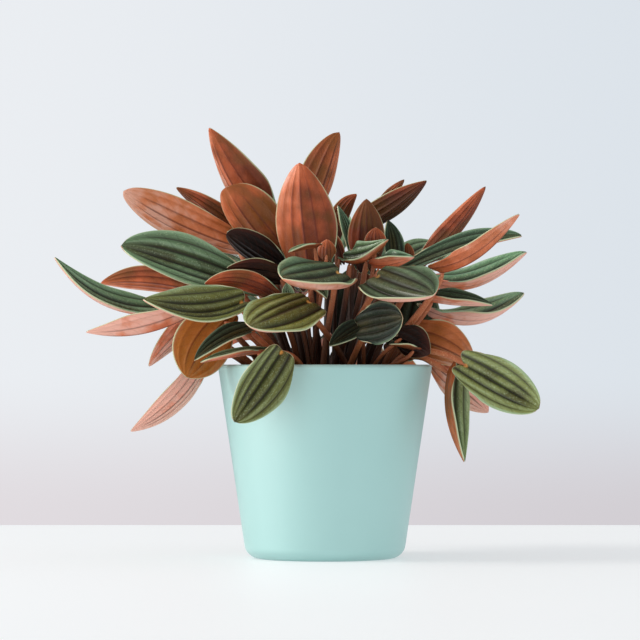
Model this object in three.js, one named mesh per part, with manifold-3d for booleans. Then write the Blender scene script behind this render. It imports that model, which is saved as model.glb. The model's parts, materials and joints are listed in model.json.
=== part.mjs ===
import * as THREE from "three";
import { mergeVertices } from "three/addons/utils/BufferGeometryUtils.js";
import Module from "manifold-3d";

// A potted peperomia: a tapered round pot, its soil, and leaves that each stand in the soil on a
// stalk of their own. The youngest leaves share a root and are fused in one solid for each shoot.
// Millimetres, +Z up, with the origin at the middle of the pot's flat underside. The viewer of
// the photograph stands at -Y.

// Pot
const POT_HEIGHT = 108;
const POT_RIM_RADIUS = 60;
const POT_TAPER = 16.1; // how much wider the wall is at the rim than it would be at the table
const POT_WALL = 3.6;
const POT_FLOOR = 5;
const POT_FOOT_ROUNDING = 8;
const SIDES = 48; // of the pot and the soil, which keep their gap because they have the same

// Soil
const SOIL_HEIGHT = 98.5;
const SOIL_EDGE_DROP = 1.5; // how much lower the soil lies at the wall
const SOIL_LEVEL_RADIUS = 48;
const GAP = 0.3; // between the soil and the pot, and around each stalk in its hole

// Stalks
const STALK_RADIUS = 1.5;
const YOUNG_STALK_RADIUS = 1.1;
const STALK_SIDES = 5;
const STALK_STEPS = 4;
const STALK_DEPTH = 6; // how far a stalk goes into the soil
const STALK_INTO_BLADE = 3; // how far along the rib a stalk ends
const FOOT_PULL = 0.4; // a stalk's foot stands this share of its leaf's distance from the middle

// Crown that the stalks of one young shoot stand in
const CROWN_RADIUS = 4;
const CROWN_HEIGHT = 7;
const CROWN_SIDES = 8;
const CROWN_RING = 1.6; // the stalks' distance from the crown's middle

// Blades
const BLADE_THICKNESS = 0.9;
const WIDEST = 0.7; // a higher power moves the widest place towards the tip
const VEIN_SPACING = 0.36; // a share of the blade's half width
const PLEAT_DEPTH = 0.04; // a share of the blade's width, as is the height of the margin's waves
const WAVE_HEIGHT = 0.04;
const WAVES = 1.5; // waves along one margin
const SHOULDER = 0.6; // how far a full base's corners are rounded, as a share of its fullness
const RIM_START = 0.4; // where a turned-up margin begins, as a share of the half width
const GOLDEN_ANGLE = 2.4; // spreads the waves' phases from leaf to leaf, in radians

// What a leaf has unless its row says otherwise. fold is the angle in degrees by which both halves
// rise from the rib, curl adds to it towards the margin, rim is the height of the turned-up margins,
// and roll adds to the rim on one side only, the left one where it is negative. point is the tip's
// sharpness, full is how full the outline is where the stalk joins, lobe is how far the base reaches
// back behind the stalk as a share of the length, twist turns the blade along its rib in degrees,
// and bend moves the middle of the rib out of the straight line from base to tip. rise and reach are
// the lengths of the stalk's two handles as shares of its own, and arrive is the direction in which
// it meets the blade. Where a row gives no foot or arrive, these are worked out.
const USUAL = {
  fold: 18, curl: 25, rim: 0, roll: 0, point: 0.85, full: 0.14, lobe: 0.13, twist: 0,
  bend: [0, 0, 0],
  rise: 0.35, reach: 0.3, foot: null, arrive: null,
};

// One row for each leaf: its name, the place where its stalk joins the blade, its tip, its width
// and the direction that its top side faces.
const LEAVES = [
  ["leaf_top_1", [-32, 12, 185], [-65, 2, 241], 36, [0.8, 1, 0.5],
    { fold: 22, bend: [-4, 0, -3], foot: [-13, 6] }],
  ["leaf_top_2", [-19, -5, 163], [-55, -14, 207], 37, [0.5, 1, 0.3],
    { point: 0.45, bend: [-2, 0, -2], foot: [-8, -1] }],
  ["leaf_top_3", [-8, -29, 156], [-14, -37, 219], 40, [0.2, 1, 0.05],
    { point: 0.75, full: 0.2, bend: [-1.5, 0, 0], foot: [-1, -4] }],
  ["leaf_top_4", [-12, 18, 183], [8, 24, 240], 30, [-0.8, 1, 0],
    { fold: 25, point: 0.65, bend: [2, 0, 1] }],
  ["leaf_top_5", [23, -13, 163], [23, -19, 200], 24, [0, 1, 0.1], { foot: [10, -5] }],
  ["leaf_top_6", [18, 8, 184], [57, -2, 211], 20, [-0.1, 1, 0.8], { bend: [0, 0, -2.5], foot: [12, 9] }],
  ["leaf_top_7", [38, -5, 163], [35, -1, 189], 14, [0.3, -1, 0.2], { bend: [1, 0, 0], foot: [13, 2] }],
  ["leaf_top_8", [53, 4, 164], [90, 0, 208], 16, [-0.2, 1, 0.3],
    { fold: 28, bend: [1.5, 0, -1.5], foot: [20, 6] }],
  ["leaf_left_1", [-45, 21, 180], [-84, 12, 208], 16, [0.2, 1, 0.6], { foot: [-17, 9] }],
  ["leaf_left_2", [-47, 9, 174], [-113, -3, 205], 28, [0.1, 1, 0.4],
    { point: 0.6, bend: [-1, 0, -3] }],
  ["leaf_left_3", [-22, -14, 160], [-54, -30, 181], 20, [0.1, 1, 0.4], { point: 0.6, foot: [-11, -7] }],
  ["leaf_left_4", [-45, -22, 151], [-112, -42, 173], 36, [0.1, -1, 0.6], { point: 0.6, foot: [-18, -9] }],
  ["leaf_left_5", [-22, -25, 155], [-54, -38, 161], 18, [0, 1, 0.5], { foot: [-7, -10] }],
  ["leaf_left_6", [-26, -34, 144], [-66, -48, 152], 15, [0, 1, 0.6],
    { bend: [0, 0, 5], foot: [-13, -14] }],
  ["leaf_left_7", [-78, 8, 151], [-127, 18, 154], 20, [0, 1, 0.6], { bend: [0, 0, 2], foot: [-31, 6] }],
  ["leaf_left_8", [-87, 0, 137], [-151, -8, 168], 24, [0, -0.6, 1], { fold: 25, bend: [-5, 0, -11] }],
  ["leaf_left_9", [-44, -48, 142], [-98, -75, 143], 30, [0, -1, 0.7],
    { point: 0.75, full: 0.22, lobe: 0.05, rim: 2, bend: [0, 0, -7], foot: [-18, -14] }],
  ["leaf_left_10", [-75, -30, 135], [-132, -27, 126], 25, [0, 0.4, 1],
    { fold: 36, bend: [0, 0, -6], foot: [-33, -11] }],
  ["leaf_left_11", [-67, -12, 136], [-98, -15, 107], 18, [-0.5, 1, 0.8], { rise: 0.6, foot: [-24, -8] }],
  ["leaf_left_12", [-54, -30, 134], [-76, -42, 101], 36, [-0.3, 1, 0.3],
    { fold: 6, curl: 12, point: 0.7, bend: [-2, 0, 0], foot: [-23, -17] }],
  ["leaf_left_13", [-38, -47, 127], [-71, -60, 110], 18, [-0.3, -0.8, 1],
    { bend: [0, 0, 2], foot: [-18, -19] }],
  ["leaf_left_14", [-34, -50, 115], [-68, -52, 109], 14, [0, -0.2, 1], { foot: [-13, -25] }],
  ["leaf_left_15", [-67, -12, 109], [-108, -17, 71], 19, [-0.6, 1, 0.3],
    { bend: [4, 0, -4], foot: [-28, -4], arrive: [-1, 0, -0.8], rise: 0.7, reach: 0.4 }],
  ["leaf_front_1", [-23, -68, 116], [-49, -72, 77], 32, [0.45, -1, 0],
    { point: 0.6, full: 0.4, lobe: 0.02, foot: [-9, -27], arrive: [-0.3, -1, -0.2] }],
  ["leaf_front_2", [-8, -53, 142], [-40, -90, 128], 40, [-0.1, -1.5, 1],
    { point: 0.6, full: 0.4, lobe: 0.1, fold: -18, curl: 0, rim: 3, roll: -7, foot: [15, -15] }],
  ["leaf_front_3", [8, -43, 158], [-23, -78, 154], 40, [0, -1.6, 1.2],
    { point: 0.6, full: 0.35, lobe: 0.1, fold: -8, curl: 0, rim: 2, roll: -14, bend: [0, 0, -2],
      foot: [-2, -23] }],
  ["leaf_front_4", [28, -47, 156], [58, -82, 145], 42, [0, -1, 0.6],
    { point: 0.7, full: 0.35, lobe: 0.1, fold: -14, curl: 0, rim: 1, roll: 15, bend: [0, 0, -1],
      foot: [2, -13] }],
  ["leaf_front_5", [20, -54, 128], [42, -74, 133], 24, [-0.1, -1, 0.15],
    { point: 0.5, full: 0.4, lobe: 0.14, fold: 5, curl: 10, foot: [11, -21] }],
  ["leaf_front_6", [11, -23, 165], [35, -35, 177], 24, [0, -0.8, 1],
    { fold: 36, curl: 20, bend: [0, 0, -5.5], foot: [5, -9] }],
  ["leaf_front_7", [27, -26, 162], [49, -38, 167], 24, [0, -0.3, 1],
    { fold: 35, curl: 20, bend: [0, 0, -3], foot: [10, -12] }],
  ["leaf_right_1", [48, -14, 161], [109, -25, 179], 24, [0, -0.6, 1],
    { point: 0.7, bend: [0, 0, 1.5], foot: [24, -8] }],
  ["leaf_right_2", [63, -29, 159], [106, -52, 190], 21, [0, 0.25, 1],
    { fold: 30, point: 0.7, full: 0.3, bend: [1, 0, -7], foot: [29, -12] }],
  ["leaf_right_3", [60, 20, 153], [115, 30, 172], 28, [0, -0.4, 1],
    { fold: 38, curl: 14, point: 0.6, bend: [0, 0, -10], foot: [26, 10] }],
  ["leaf_right_4", [59, 30, 136], [114, 40, 149], 28, [0, 0, 1],
    { fold: 38, curl: 14, point: 0.6, twist: -40, bend: [2, 0, -11], foot: [23, 15] }],
  ["leaf_right_5", [57, -10, 144], [93, -16, 141], 20, [0, -0.4, 1],
    { fold: 35, curl: 14, bend: [0, 0, -1.5], foot: [31, -7] }],
  ["leaf_right_6", [48, 0, 123], [83, -4, 108], 30, [0.1, 1, 0.4],
    { point: 0.7, full: 0.3, bend: [0, 0, 2], foot: [27, 2] }],
  ["leaf_right_7", [76, -35, 108], [118, -42, 84], 30, [0.2, -1, 0],
    { point: 0.55, full: 0.4, lobe: 0.1, fold: 14, curl: 20, foot: [33, -18],
      arrive: [1, -0.3, -0.8], rise: 0.6, reach: 0.4 }],
  ["leaf_right_8", [69, -20, 106], [77, -25, 54], 28, [1, -0.65, 0],
    { fold: 45, curl: 10, bend: [-6, 0, 0], foot: [36, -11], arrive: [1, -0.2, -1],
      rise: 0.8, reach: 0.45 }],
  ["leaf_right_9", [64, 15, 106], [92, 10, 81], 24, [0.3, 1, 0],
    { foot: [31, 7], arrive: [1, 0.1, -1], rise: 0.8, reach: 0.45 }],
  ["leaf_back_1", [-32, 44, 121], [-64, 88, 113], 28, [-0.3, 0.4, 1], { rim: 1, bend: [0, 0, 5] }],
  ["leaf_back_2", [-6, 54, 122], [-10, 104, 102], 30, [0, 0.5, 1], { rim: 2, bend: [0, 0, 6] }],
  ["leaf_back_3", [17, 54, 113], [26, 94, 96], 28, [0.3, 0.4, 1], { bend: [0, 0, 6], foot: [8, 22] }],
  ["leaf_back_4", [-44, 34, 141], [-80, 78, 134], 28, [-0.2, 0.1, 1],
    { bend: [0, 0, 4], foot: [-22, 17] }],
  ["leaf_back_5", [-14, 44, 150], [-22, 98, 138], 30, [0, 0.3, 1], { bend: [0, 0, 5] }],
  ["leaf_back_6", [14, 42, 122], [24, 60, 168], 38, [0, -1, 0.3], { fold: 6, curl: 10 }],
  ["leaf_back_7", [44, 38, 116], [54, 52, 160], 36, [0.2, -1, 0.3],
    { fold: 6, curl: 10, foot: [18, 17] }],
  ["leaf_back_8", [2, 30, 168], [8, 76, 200], 26, [0, -1, 0.4], { bend: [0, 4, 0] }],
  ["leaf_back_9", [-28, 30, 172], [-46, 68, 200], 26, [0.3, -1, 0.6], { bend: [0, 3, 0] }],
  ["leaf_back_10", [24, 28, 160], [36, 66, 182], 24, [-0.3, -1, 0.8],
    { bend: [0, 3, 0], foot: [13, 15] }],
  ["leaf_back_11", [-24, 54, 114], [-42, 82, 72], 28, [-0.2, 1, 0.5],
    { bend: [-2, 5, 2], foot: [-7, 24], arrive: [-0.5, 1, -0.4] }],
  ["leaf_back_12", [34, 50, 114], [52, 76, 74], 26, [0.4, 1, 0.4],
    { bend: [2, 5, 2], foot: [15, 23], arrive: [0.5, 1, -0.4] }],
  ["leaf_back_13", [2, 60, 111], [6, 90, 70], 28, [0, 1, 0.4],
    { bend: [0, 5, 2], foot: [1, 25], arrive: [0, 1, -0.4] }],
  ["leaf_back_14", [-40, 22, 158], [-76, 52, 174], 26, [0, -0.6, 1],
    { bend: [0, 0, 2], foot: [-15, 15] }],
  ["leaf_back_15", [44, 26, 160], [68, 58, 177], 28, [0, -0.3, 1], { bend: [0, 0, 2], foot: [19, 12] }],
  ["young_shoot_1", [-4, -36, 173], [-20, -54, 169], 9, [0, 0.1, 1], { foot: [-7, -19] }],
  ["young_shoot_1", [1, -33, 166], [1, -34, 177], 12, [0, 1, 0.2], { foot: [-7, -19] }],
  ["young_shoot_1", [-18, -38, 143], [-21, -40, 153], 9, [-0.5, -1, 0.2], { foot: [-7, -19] }],
  ["young_shoot_1", [-9, -36, 152], [1, -40, 144], 14, [0.2, -0.5, 1], { rim: 1, foot: [-7, -19] }],
  ["young_shoot_2", [28, -20, 171], [28, -22, 184], 14, [0, 1, 0.2], { foot: [17, -5] }],
  ["young_shoot_2", [47, -4, 165], [46, -4, 176], 8, [0, 1, 0], { foot: [17, -5] }],
  ["young_shoot_2", [17, -1, 165], [7, -5, 197], 10, [0.6, -0.8, 0], { foot: [17, -5] }],
  ["young_shoot_3", [22, -36, 130], [2, -45, 118], 14, [-0.2, -1, 0.5], { foot: [21, -18] }],
  ["young_shoot_3", [52, -30, 116], [35, -35, 119], 14, [0, -0.3, 1], { foot: [21, -18] }],
  ["young_shoot_3", [40, -32, 124], [58, -34, 114], 22, [0, 1, 0.3], { foot: [21, -18] }],
  ["young_shoot_4", [9, -14, 165], [4, -16, 182], 8, [0.8, 1, 0], { foot: [6, 7] }],
  ["young_shoot_4", [6, 12, 178], [18, 8, 204], 14, [-0.5, 1, 0], { bend: [-2, 0, 2], foot: [6, 7] }],
  ["young_shoot_4", [29, 24, 195], [45, 22, 213], 8, [0, 1, 0.4], { foot: [6, 7] }],
];

// Where a blade's surface has points: shares of the half width, and of the length. A narrower or
// shorter blade has fewer points.
const COLUMNS = [-1, -0.6, -0.36, -0.18, 0, 0.18, 0.36, 0.6, 1];
const ROWS = [0, 0.15, 0.38, 0.65, 0.88];
const SHORT = 52;
const SHORT_ROWS = [0, 0.2, 0.5, 0.82];
const NARROW = 27;
const NARROW_COLUMNS = [-1, -0.36, -0.18, 0, 0.18, 0.36, 1];
const NARROWEST = 17;
const NARROWEST_COLUMNS = [-1, -0.36, 0, 0.36, 1];
const NARROWEST_ROWS = [0, 0.35, 0.75];

const SLIVER = 0.03; // details smaller than this, left where solids were joined, are taken out

const GLAZE = { color: "#a5cdcb", roughness: 0.45, metalness: 0 };
const EARTH = { color: "#2b1d14", roughness: 0.95, metalness: 0 };
const LEAF = { color: "#3f6b2a", roughness: 0.4, metalness: 0 };

const wasm = await Module();
wasm.setup();

function vector(list) {
  return new THREE.Vector3(...list);
}

// Solids

function solidFrom(geometry) {
  const bare = new THREE.BufferGeometry();
  bare.setAttribute("position", geometry.getAttribute("position"));
  if (geometry.index) {
    bare.setIndex(geometry.index);
  }
  const welded = mergeVertices(bare, 1e-4);
  const corners = [];
  const index = welded.index.array;
  for (let i = 0; i < index.length; i += 3) {
    const [a, b, c] = index.slice(i, i + 3);
    if (a !== b && b !== c && c !== a) {
      corners.push(a, b, c);
    }
  }
  const vertProperties = new Float32Array(welded.getAttribute("position").array);
  const triVerts = new Uint32Array(corners);
  return new wasm.Manifold(new wasm.Mesh({ numProp: 3, vertProperties, triVerts }));
}

function meshFrom(solid, name, finish) {
  const { vertProperties, triVerts } = solid.getMesh();
  const geometry = new THREE.BufferGeometry();
  geometry.setAttribute("position", new THREE.BufferAttribute(new Float32Array(vertProperties), 3));
  geometry.setIndex(new THREE.BufferAttribute(new Uint32Array(triVerts), 1));
  geometry.computeVertexNormals();
  const mesh = new THREE.Mesh(geometry, new THREE.MeshStandardMaterial(finish));
  mesh.name = name;
  return mesh;
}

// A line through corners, each a point [x, z] with the radius and the steps of its rounding.
function roundedLine(corners) {
  const points = [];
  corners.forEach(([x, z, radius = 0, steps = 0], i) => {
    const corner = new THREE.Vector2(x, z);
    if (radius === 0) {
      points.push(corner);
      return;
    }
    const before = new THREE.Vector2(...corners[i - 1].slice(0, 2)).sub(corner).normalize();
    const after = new THREE.Vector2(...corners[i + 1].slice(0, 2)).sub(corner).normalize();
    const halfAngle = Math.acos(before.dot(after)) / 2;
    const middle = before.clone().add(after).normalize();
    const center = corner.clone().addScaledVector(middle, radius / Math.sin(halfAngle));
    const start = corner.clone().addScaledVector(before, radius / Math.tan(halfAngle)).sub(center);
    const end = corner.clone().addScaledVector(after, radius / Math.tan(halfAngle)).sub(center);
    const turn = Math.atan2(start.cross(end), start.dot(end));
    for (let step = 0; step <= steps; step += 1) {
      const spoke = start.clone().rotateAround(new THREE.Vector2(), (turn * step) / steps);
      points.push(center.clone().add(spoke));
    }
  });
  return points;
}

// Lathe profiles run from the axis at the bottom to the axis at the top. three.js turns them about
// its Y axis, so the solid is stood up on Z.
function turned(corners, sides) {
  const geometry = new THREE.LatheGeometry(roundedLine(corners), sides);
  geometry.rotateX(Math.PI / 2);
  return solidFrom(geometry);
}

// Pot and soil

function wallRadius(z) {
  return POT_RIM_RADIUS - POT_TAPER * (1 - z / POT_HEIGHT);
}

function makePot() {
  return turned([
    [0, 0],
    [wallRadius(0), 0, POT_FOOT_ROUNDING, 4],
    [wallRadius(POT_HEIGHT), POT_HEIGHT, 2, 3],
    [wallRadius(POT_HEIGHT) - POT_WALL, POT_HEIGHT, 1.2, 2],
    [wallRadius(POT_FLOOR) - POT_WALL, POT_FLOOR, 4, 2],
    [0, POT_FLOOR],
  ], SIDES);
}

function makeSoil(leaves) {
  const bottom = POT_FLOOR + GAP;
  const inset = POT_WALL + GAP;
  const edge = SOIL_HEIGHT - SOIL_EDGE_DROP;
  const body = turned([
    [0, bottom],
    [wallRadius(bottom) - inset, bottom, 4, 2],
    [wallRadius(edge) - inset, edge],
    [SOIL_LEVEL_RADIUS, SOIL_HEIGHT],
    [0, SOIL_HEIGHT],
  ], SIDES);
  const holes = leaves.map((leaf) => (leaf.young ? makeCrown(leaf, GAP) : makeStalk(leaf, GAP)));
  return body.subtract(wasm.Manifold.union(holes)).simplify(SLIVER);
}

// Leaves

function readLeaf([name, base, tip, width, faces, extras], number) {
  const leaf = { ...USUAL, ...extras, name, width, number };
  leaf.base = vector(base);
  leaf.tip = vector(tip);
  leaf.bend = vector(leaf.bend);
  leaf.young = name.startsWith("young");
  leaf.radius = leaf.young ? YOUNG_STALK_RADIUS : STALK_RADIUS;
  const [x, y] = leaf.foot ?? [base[0] * FOOT_PULL, base[1] * FOOT_PULL];
  leaf.foot = vector([x, y, SOIL_HEIGHT - STALK_DEPTH]);
  leaf.along = leaf.tip.clone().sub(leaf.base);
  leaf.length = leaf.along.length();
  leaf.along.normalize();
  leaf.up = vector(faces);
  leaf.up.addScaledVector(leaf.along, -leaf.up.dot(leaf.along)).normalize();
  leaf.across = leaf.along.clone().cross(leaf.up);
  return leaf;
}

// The stalks of a young shoot stand in a ring in its crown, in the order of their directions.
function gatherShoot(shoot) {
  const crown = shoot[0].foot.clone();
  const angles = shoot.map((leaf) => Math.atan2(leaf.base.y - crown.y, leaf.base.x - crown.x));
  const first = Math.min(...angles);
  shoot.forEach((leaf, i) => {
    const rank = angles.filter((angle) => angle < angles[i]).length;
    const angle = first + (2 * Math.PI * rank) / shoot.length;
    leaf.crown = crown;
    leaf.foot.x += CROWN_RING * Math.cos(angle);
    leaf.foot.y += CROWN_RING * Math.sin(angle);
    leaf.foot.z += 1;
  });
}

// The half width along the rib, as a share of the widest: r runs from 0 at the base to 1 at the tip.
function outline(r, { point, full }) {
  const shape = (x) => (1 - x) ** point * (x + full) ** WIDEST;
  const widest = (WIDEST - point * full) / (point + WIDEST);
  return shape(r) / shape(widest);
}

function ribPoint(leaf, u) {
  return leaf.base.clone()
    .addScaledVector(leaf.along, leaf.length * u)
    .addScaledVector(leaf.bend, 4 * u * (1 - u));
}

// A point in the middle of the blade's thickness: r as above, t from -1 to 1 across.
function bladePoint(leaf, r, t) {
  const side = Math.abs(t);
  const half = (leaf.width / 2) * outline(r, leaf);
  const rounded = SHOULDER * leaf.full * side ** 4 - leaf.lobe * Math.sin(Math.PI * side);
  const u = r + rounded * (1 - r) ** 2;
  const tangent = leaf.along.clone().multiplyScalar(leaf.length);
  tangent.addScaledVector(leaf.bend, 4 * (1 - 2 * u)).normalize();
  const across = leaf.across.clone().addScaledVector(tangent, -leaf.across.dot(tangent)).normalize();
  const up = across.clone().cross(tangent);
  const twist = THREE.MathUtils.degToRad(leaf.twist) * THREE.MathUtils.clamp(u, 0, 1);
  across.applyAxisAngle(tangent, -twist);
  up.applyAxisAngle(tangent, -twist);

  // The pleats between the veins swell in the middle of the blade, and fade at base, tip and margin.
  const slope = THREE.MathUtils.degToRad(leaf.fold + (leaf.curl * side) / 2);
  const swell = ((r + 0.15) * (1 - r)) / 0.33;
  const pleat = 0.5 - 0.5 * Math.cos((2 * Math.PI * t) / VEIN_SPACING);
  const turnUp = Math.max(0, (side - RIM_START) / (1 - RIM_START)) ** 1.5;
  const phase = 2 * Math.PI * WAVES * r + GOLDEN_ANGLE * leaf.number + t;
  const rise = side * half * Math.sin(slope)
    + (leaf.rim + Math.max(0, leaf.roll * Math.sign(t))) * turnUp * (half / (leaf.width / 2))
    + PLEAT_DEPTH * leaf.width * pleat * swell * (1 - t ** 4)
    + WAVE_HEIGHT * leaf.width * side ** 3 * Math.sin(phase) * (1 - r);
  return ribPoint(leaf, u)
    .addScaledVector(across, t * half * Math.cos(slope))
    .addScaledVector(up, rise);
}

// The blade's middle surface: rows of points from the base, then the tip.
function bladeSurface(leaf) {
  const narrowest = leaf.width < NARROWEST;
  const wider = leaf.width < NARROW ? NARROW_COLUMNS : COLUMNS;
  const columns = narrowest ? NARROWEST_COLUMNS : wider;
  const longer = leaf.length < SHORT ? SHORT_ROWS : ROWS;
  const rows = narrowest ? NARROWEST_ROWS : longer;
  const points = rows.flatMap((r) => columns.map((t) => bladePoint(leaf, r, t)));
  points.push(leaf.tip.clone());
  const triangles = [];
  const last = columns.length - 1;
  rows.forEach((r, row) => {
    const start = row * columns.length;
    const next = start + columns.length;
    for (let i = start; i < start + last; i += 1) {
      if (row === rows.length - 1) {
        triangles.push([i, i + 1, points.length - 1]);
      } else if (i - start < last / 2) {
        triangles.push([i, i + 1, next + i - start], [i + 1, next + i - start + 1, next + i - start]);
      } else {
        triangles.push([i, i + 1, next + i - start + 1], [i, next + i - start + 1, next + i - start]);
      }
    }
  });
  return { points, triangles };
}

// Both faces of a surface stand half the thickness away from it, along the mean of the directions
// that the triangles around a point face, and further where these meet at an angle.
function thickened({ points, triangles }, thickness) {
  const facing = triangles.map(([a, b, c]) => {
    const edge = points[b].clone().sub(points[a]);
    return edge.cross(points[c].clone().sub(points[a])).normalize();
  });
  const offsets = points.map((point, i) => {
    const around = facing.filter((direction, k) => triangles[k].includes(i));
    const mean = vector([0, 0, 0]);
    around.forEach((direction) => mean.add(direction));
    mean.normalize();
    const least = Math.min(...around.map((direction) => direction.dot(mean)));
    return mean.multiplyScalar(thickness / 2 / Math.max(least, 0.55));
  });
  const top = points.map((point, i) => point.clone().add(offsets[i]));
  const bottom = points.map((point, i) => point.clone().sub(offsets[i]));
  const count = points.length;
  const index = [];
  const edges = new Set(triangles.flatMap(([a, b, c]) => [`${a} ${b}`, `${b} ${c}`, `${c} ${a}`]));
  for (const [a, b, c] of triangles) {
    index.push(a, b, c, count + a, count + c, count + b);
    for (const [from, to] of [[a, b], [b, c], [c, a]]) {
      if (!edges.has(`${to} ${from}`)) {
        index.push(to, from, count + from, to, count + from, count + to);
      }
    }
  }
  const geometry = new THREE.BufferGeometry().setFromPoints([...top, ...bottom]);
  geometry.setIndex(index);
  return solidFrom(geometry);
}

// The radius of a hole's corners, so that its flat sides too are clear of what stands in it.
function widened(radius, clearance, sides) {
  return clearance === 0 ? radius : (radius + clearance) / Math.cos(Math.PI / sides);
}

// A stalk leaves the soil nearly upright and meets the blade from below.
function makeStalk(leaf, clearance) {
  const end = ribPoint(leaf, STALK_INTO_BLADE / leaf.length);
  const start = leaf.foot.clone();
  start.z -= clearance;
  const reach = end.clone().sub(start);
  const length = reach.length();
  const arrival = reach.clone().multiplyScalar(0.7 / length);
  arrival.addScaledVector(leaf.up, 0.5).addScaledVector(leaf.along, 0.3);
  if (leaf.arrive) {
    arrival.set(...leaf.arrive);
  }
  arrival.normalize();
  const path = new THREE.CubicBezierCurve3(
    start,
    start.clone().add(vector([reach.x * 0.05, reach.y * 0.05, length * leaf.rise])),
    end.clone().addScaledVector(arrival, -length * leaf.reach),
    end,
  );
  const radius = widened(leaf.radius, clearance, STALK_SIDES);
  const corners = [];
  for (let i = 0; i < STALK_SIDES; i += 1) {
    const angle = (2 * Math.PI * i) / STALK_SIDES;
    corners.push(new THREE.Vector2(radius * Math.cos(angle), radius * Math.sin(angle)));
  }
  const settings = { steps: STALK_STEPS, bevelEnabled: false, extrudePath: path };
  return solidFrom(new THREE.ExtrudeGeometry(new THREE.Shape(corners), settings));
}

function makeCrown(leaf, clearance) {
  const radius = widened(CROWN_RADIUS, clearance, CROWN_SIDES);
  const height = CROWN_HEIGHT + 2 * clearance;
  const geometry = new THREE.CylinderGeometry(radius, radius, height, CROWN_SIDES);
  geometry.rotateX(Math.PI / 2);
  geometry.translate(leaf.crown.x, leaf.crown.y, leaf.crown.z + CROWN_HEIGHT / 2);
  return solidFrom(geometry);
}

function makeLeaf(leaf) {
  const solid = thickened(bladeSurface(leaf), BLADE_THICKNESS).add(makeStalk(leaf, 0));
  return leaf.young ? solid.add(makeCrown(leaf, 0)) : solid;
}

const leaves = LEAVES.map(readLeaf);
const names = [...new Set(leaves.map((leaf) => leaf.name))];
for (const name of names.filter((other) => other.startsWith("young"))) {
  gatherShoot(leaves.filter((leaf) => leaf.name === name));
}

const plant = new THREE.Group();
plant.add(meshFrom(makePot(), "pot", GLAZE));
plant.add(meshFrom(makeSoil(leaves), "soil", EARTH));
for (const name of names) {
  const parts = leaves.filter((leaf) => leaf.name === name).map(makeLeaf);
  plant.add(meshFrom(wasm.Manifold.union(parts).simplify(SLIVER), name, LEAF));
}

export default plant;
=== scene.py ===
# %% [markdown]
# # A potted peperomia
# This lesson dresses the bare model of a small house plant: a mint green pot, dark soil, and
# pleated leaves, green above and coral below, that each stand in the soil on a stalk of their own.
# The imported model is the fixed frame. Its coarse solids tell where everything is, and each piece
# that we model here stands for one of them and keeps its place and form.

# %% Load the frame
import json
import math
import random
from types import SimpleNamespace
import bmesh
import bpy
from mathutils import Matrix, Vector, noise

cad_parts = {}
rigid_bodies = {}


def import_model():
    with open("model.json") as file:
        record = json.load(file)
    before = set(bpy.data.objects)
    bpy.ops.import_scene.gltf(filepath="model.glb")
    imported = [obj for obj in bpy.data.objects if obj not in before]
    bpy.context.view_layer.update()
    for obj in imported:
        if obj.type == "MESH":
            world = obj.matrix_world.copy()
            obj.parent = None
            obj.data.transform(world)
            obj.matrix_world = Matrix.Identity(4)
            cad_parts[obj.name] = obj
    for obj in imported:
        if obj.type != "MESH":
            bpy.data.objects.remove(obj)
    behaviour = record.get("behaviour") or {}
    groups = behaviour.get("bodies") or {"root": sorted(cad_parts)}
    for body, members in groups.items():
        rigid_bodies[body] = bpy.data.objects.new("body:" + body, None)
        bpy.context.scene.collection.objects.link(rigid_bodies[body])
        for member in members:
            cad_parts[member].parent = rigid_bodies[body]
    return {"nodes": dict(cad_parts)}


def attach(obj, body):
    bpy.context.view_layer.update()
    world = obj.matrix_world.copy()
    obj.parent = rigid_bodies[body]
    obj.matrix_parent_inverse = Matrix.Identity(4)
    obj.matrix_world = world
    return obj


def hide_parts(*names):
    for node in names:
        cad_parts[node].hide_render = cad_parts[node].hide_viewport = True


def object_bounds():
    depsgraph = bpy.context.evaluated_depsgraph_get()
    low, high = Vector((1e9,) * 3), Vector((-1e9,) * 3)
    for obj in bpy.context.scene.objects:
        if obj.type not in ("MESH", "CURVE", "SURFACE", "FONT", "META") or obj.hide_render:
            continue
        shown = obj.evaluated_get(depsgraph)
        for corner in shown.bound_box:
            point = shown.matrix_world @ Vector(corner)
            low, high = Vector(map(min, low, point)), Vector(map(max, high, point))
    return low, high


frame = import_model()
cad_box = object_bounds()
print("nodes:", len(frame["nodes"]), "box:", [list(corner) for corner in cad_box])

MM = 0.001  # the frame is in metres, and this plant's sizes are easiest to say in millimetres

# %% [markdown]
# ## The camera
# The photograph was taken from the height of the pot's rim with a long lens, which shows in how
# flat the rim's ellipse is. So the camera stands almost two metres away, and aims slightly up.

# %% Place the camera
EYE_DISTANCE = 1900 * MM
EYE_HEIGHT = 107.2 * MM
PICTURE_SIDE = 640  # pixels
FOCAL_PIXELS = 3396  # the focal length in the same pixels
AXIS_RIGHT = 5  # the plant's axis is this many pixels right of the picture's middle
EYE_BELOW = 46  # and the eye's height this many pixels below it
SENSOR = 36

camera = bpy.data.objects.new("camera", bpy.data.cameras.new("camera"))
bpy.context.scene.collection.objects.link(camera)
camera.data.sensor_width = SENSOR
camera.data.lens = FOCAL_PIXELS * SENSOR / PICTURE_SIDE
camera.location = (0, -EYE_DISTANCE, EYE_HEIGHT)
aim = Vector((-AXIS_RIGHT, FOCAL_PIXELS, EYE_BELOW))
camera.rotation_euler = aim.to_track_quat("-Z", "Y").to_euler()
bpy.context.scene.camera = camera
print("lens:", round(camera.data.lens, 1), "mm")

# %% [markdown]
# ## Shader maths
# A material is a net of nodes. Writing it as sums is easier to read than linking boxes, so a small
# class stands for one output socket, and each sum on it adds the Math node that does it. Colours
# and vectors go through Mix and Vector Math nodes, because a Math node would turn them grey.

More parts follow.
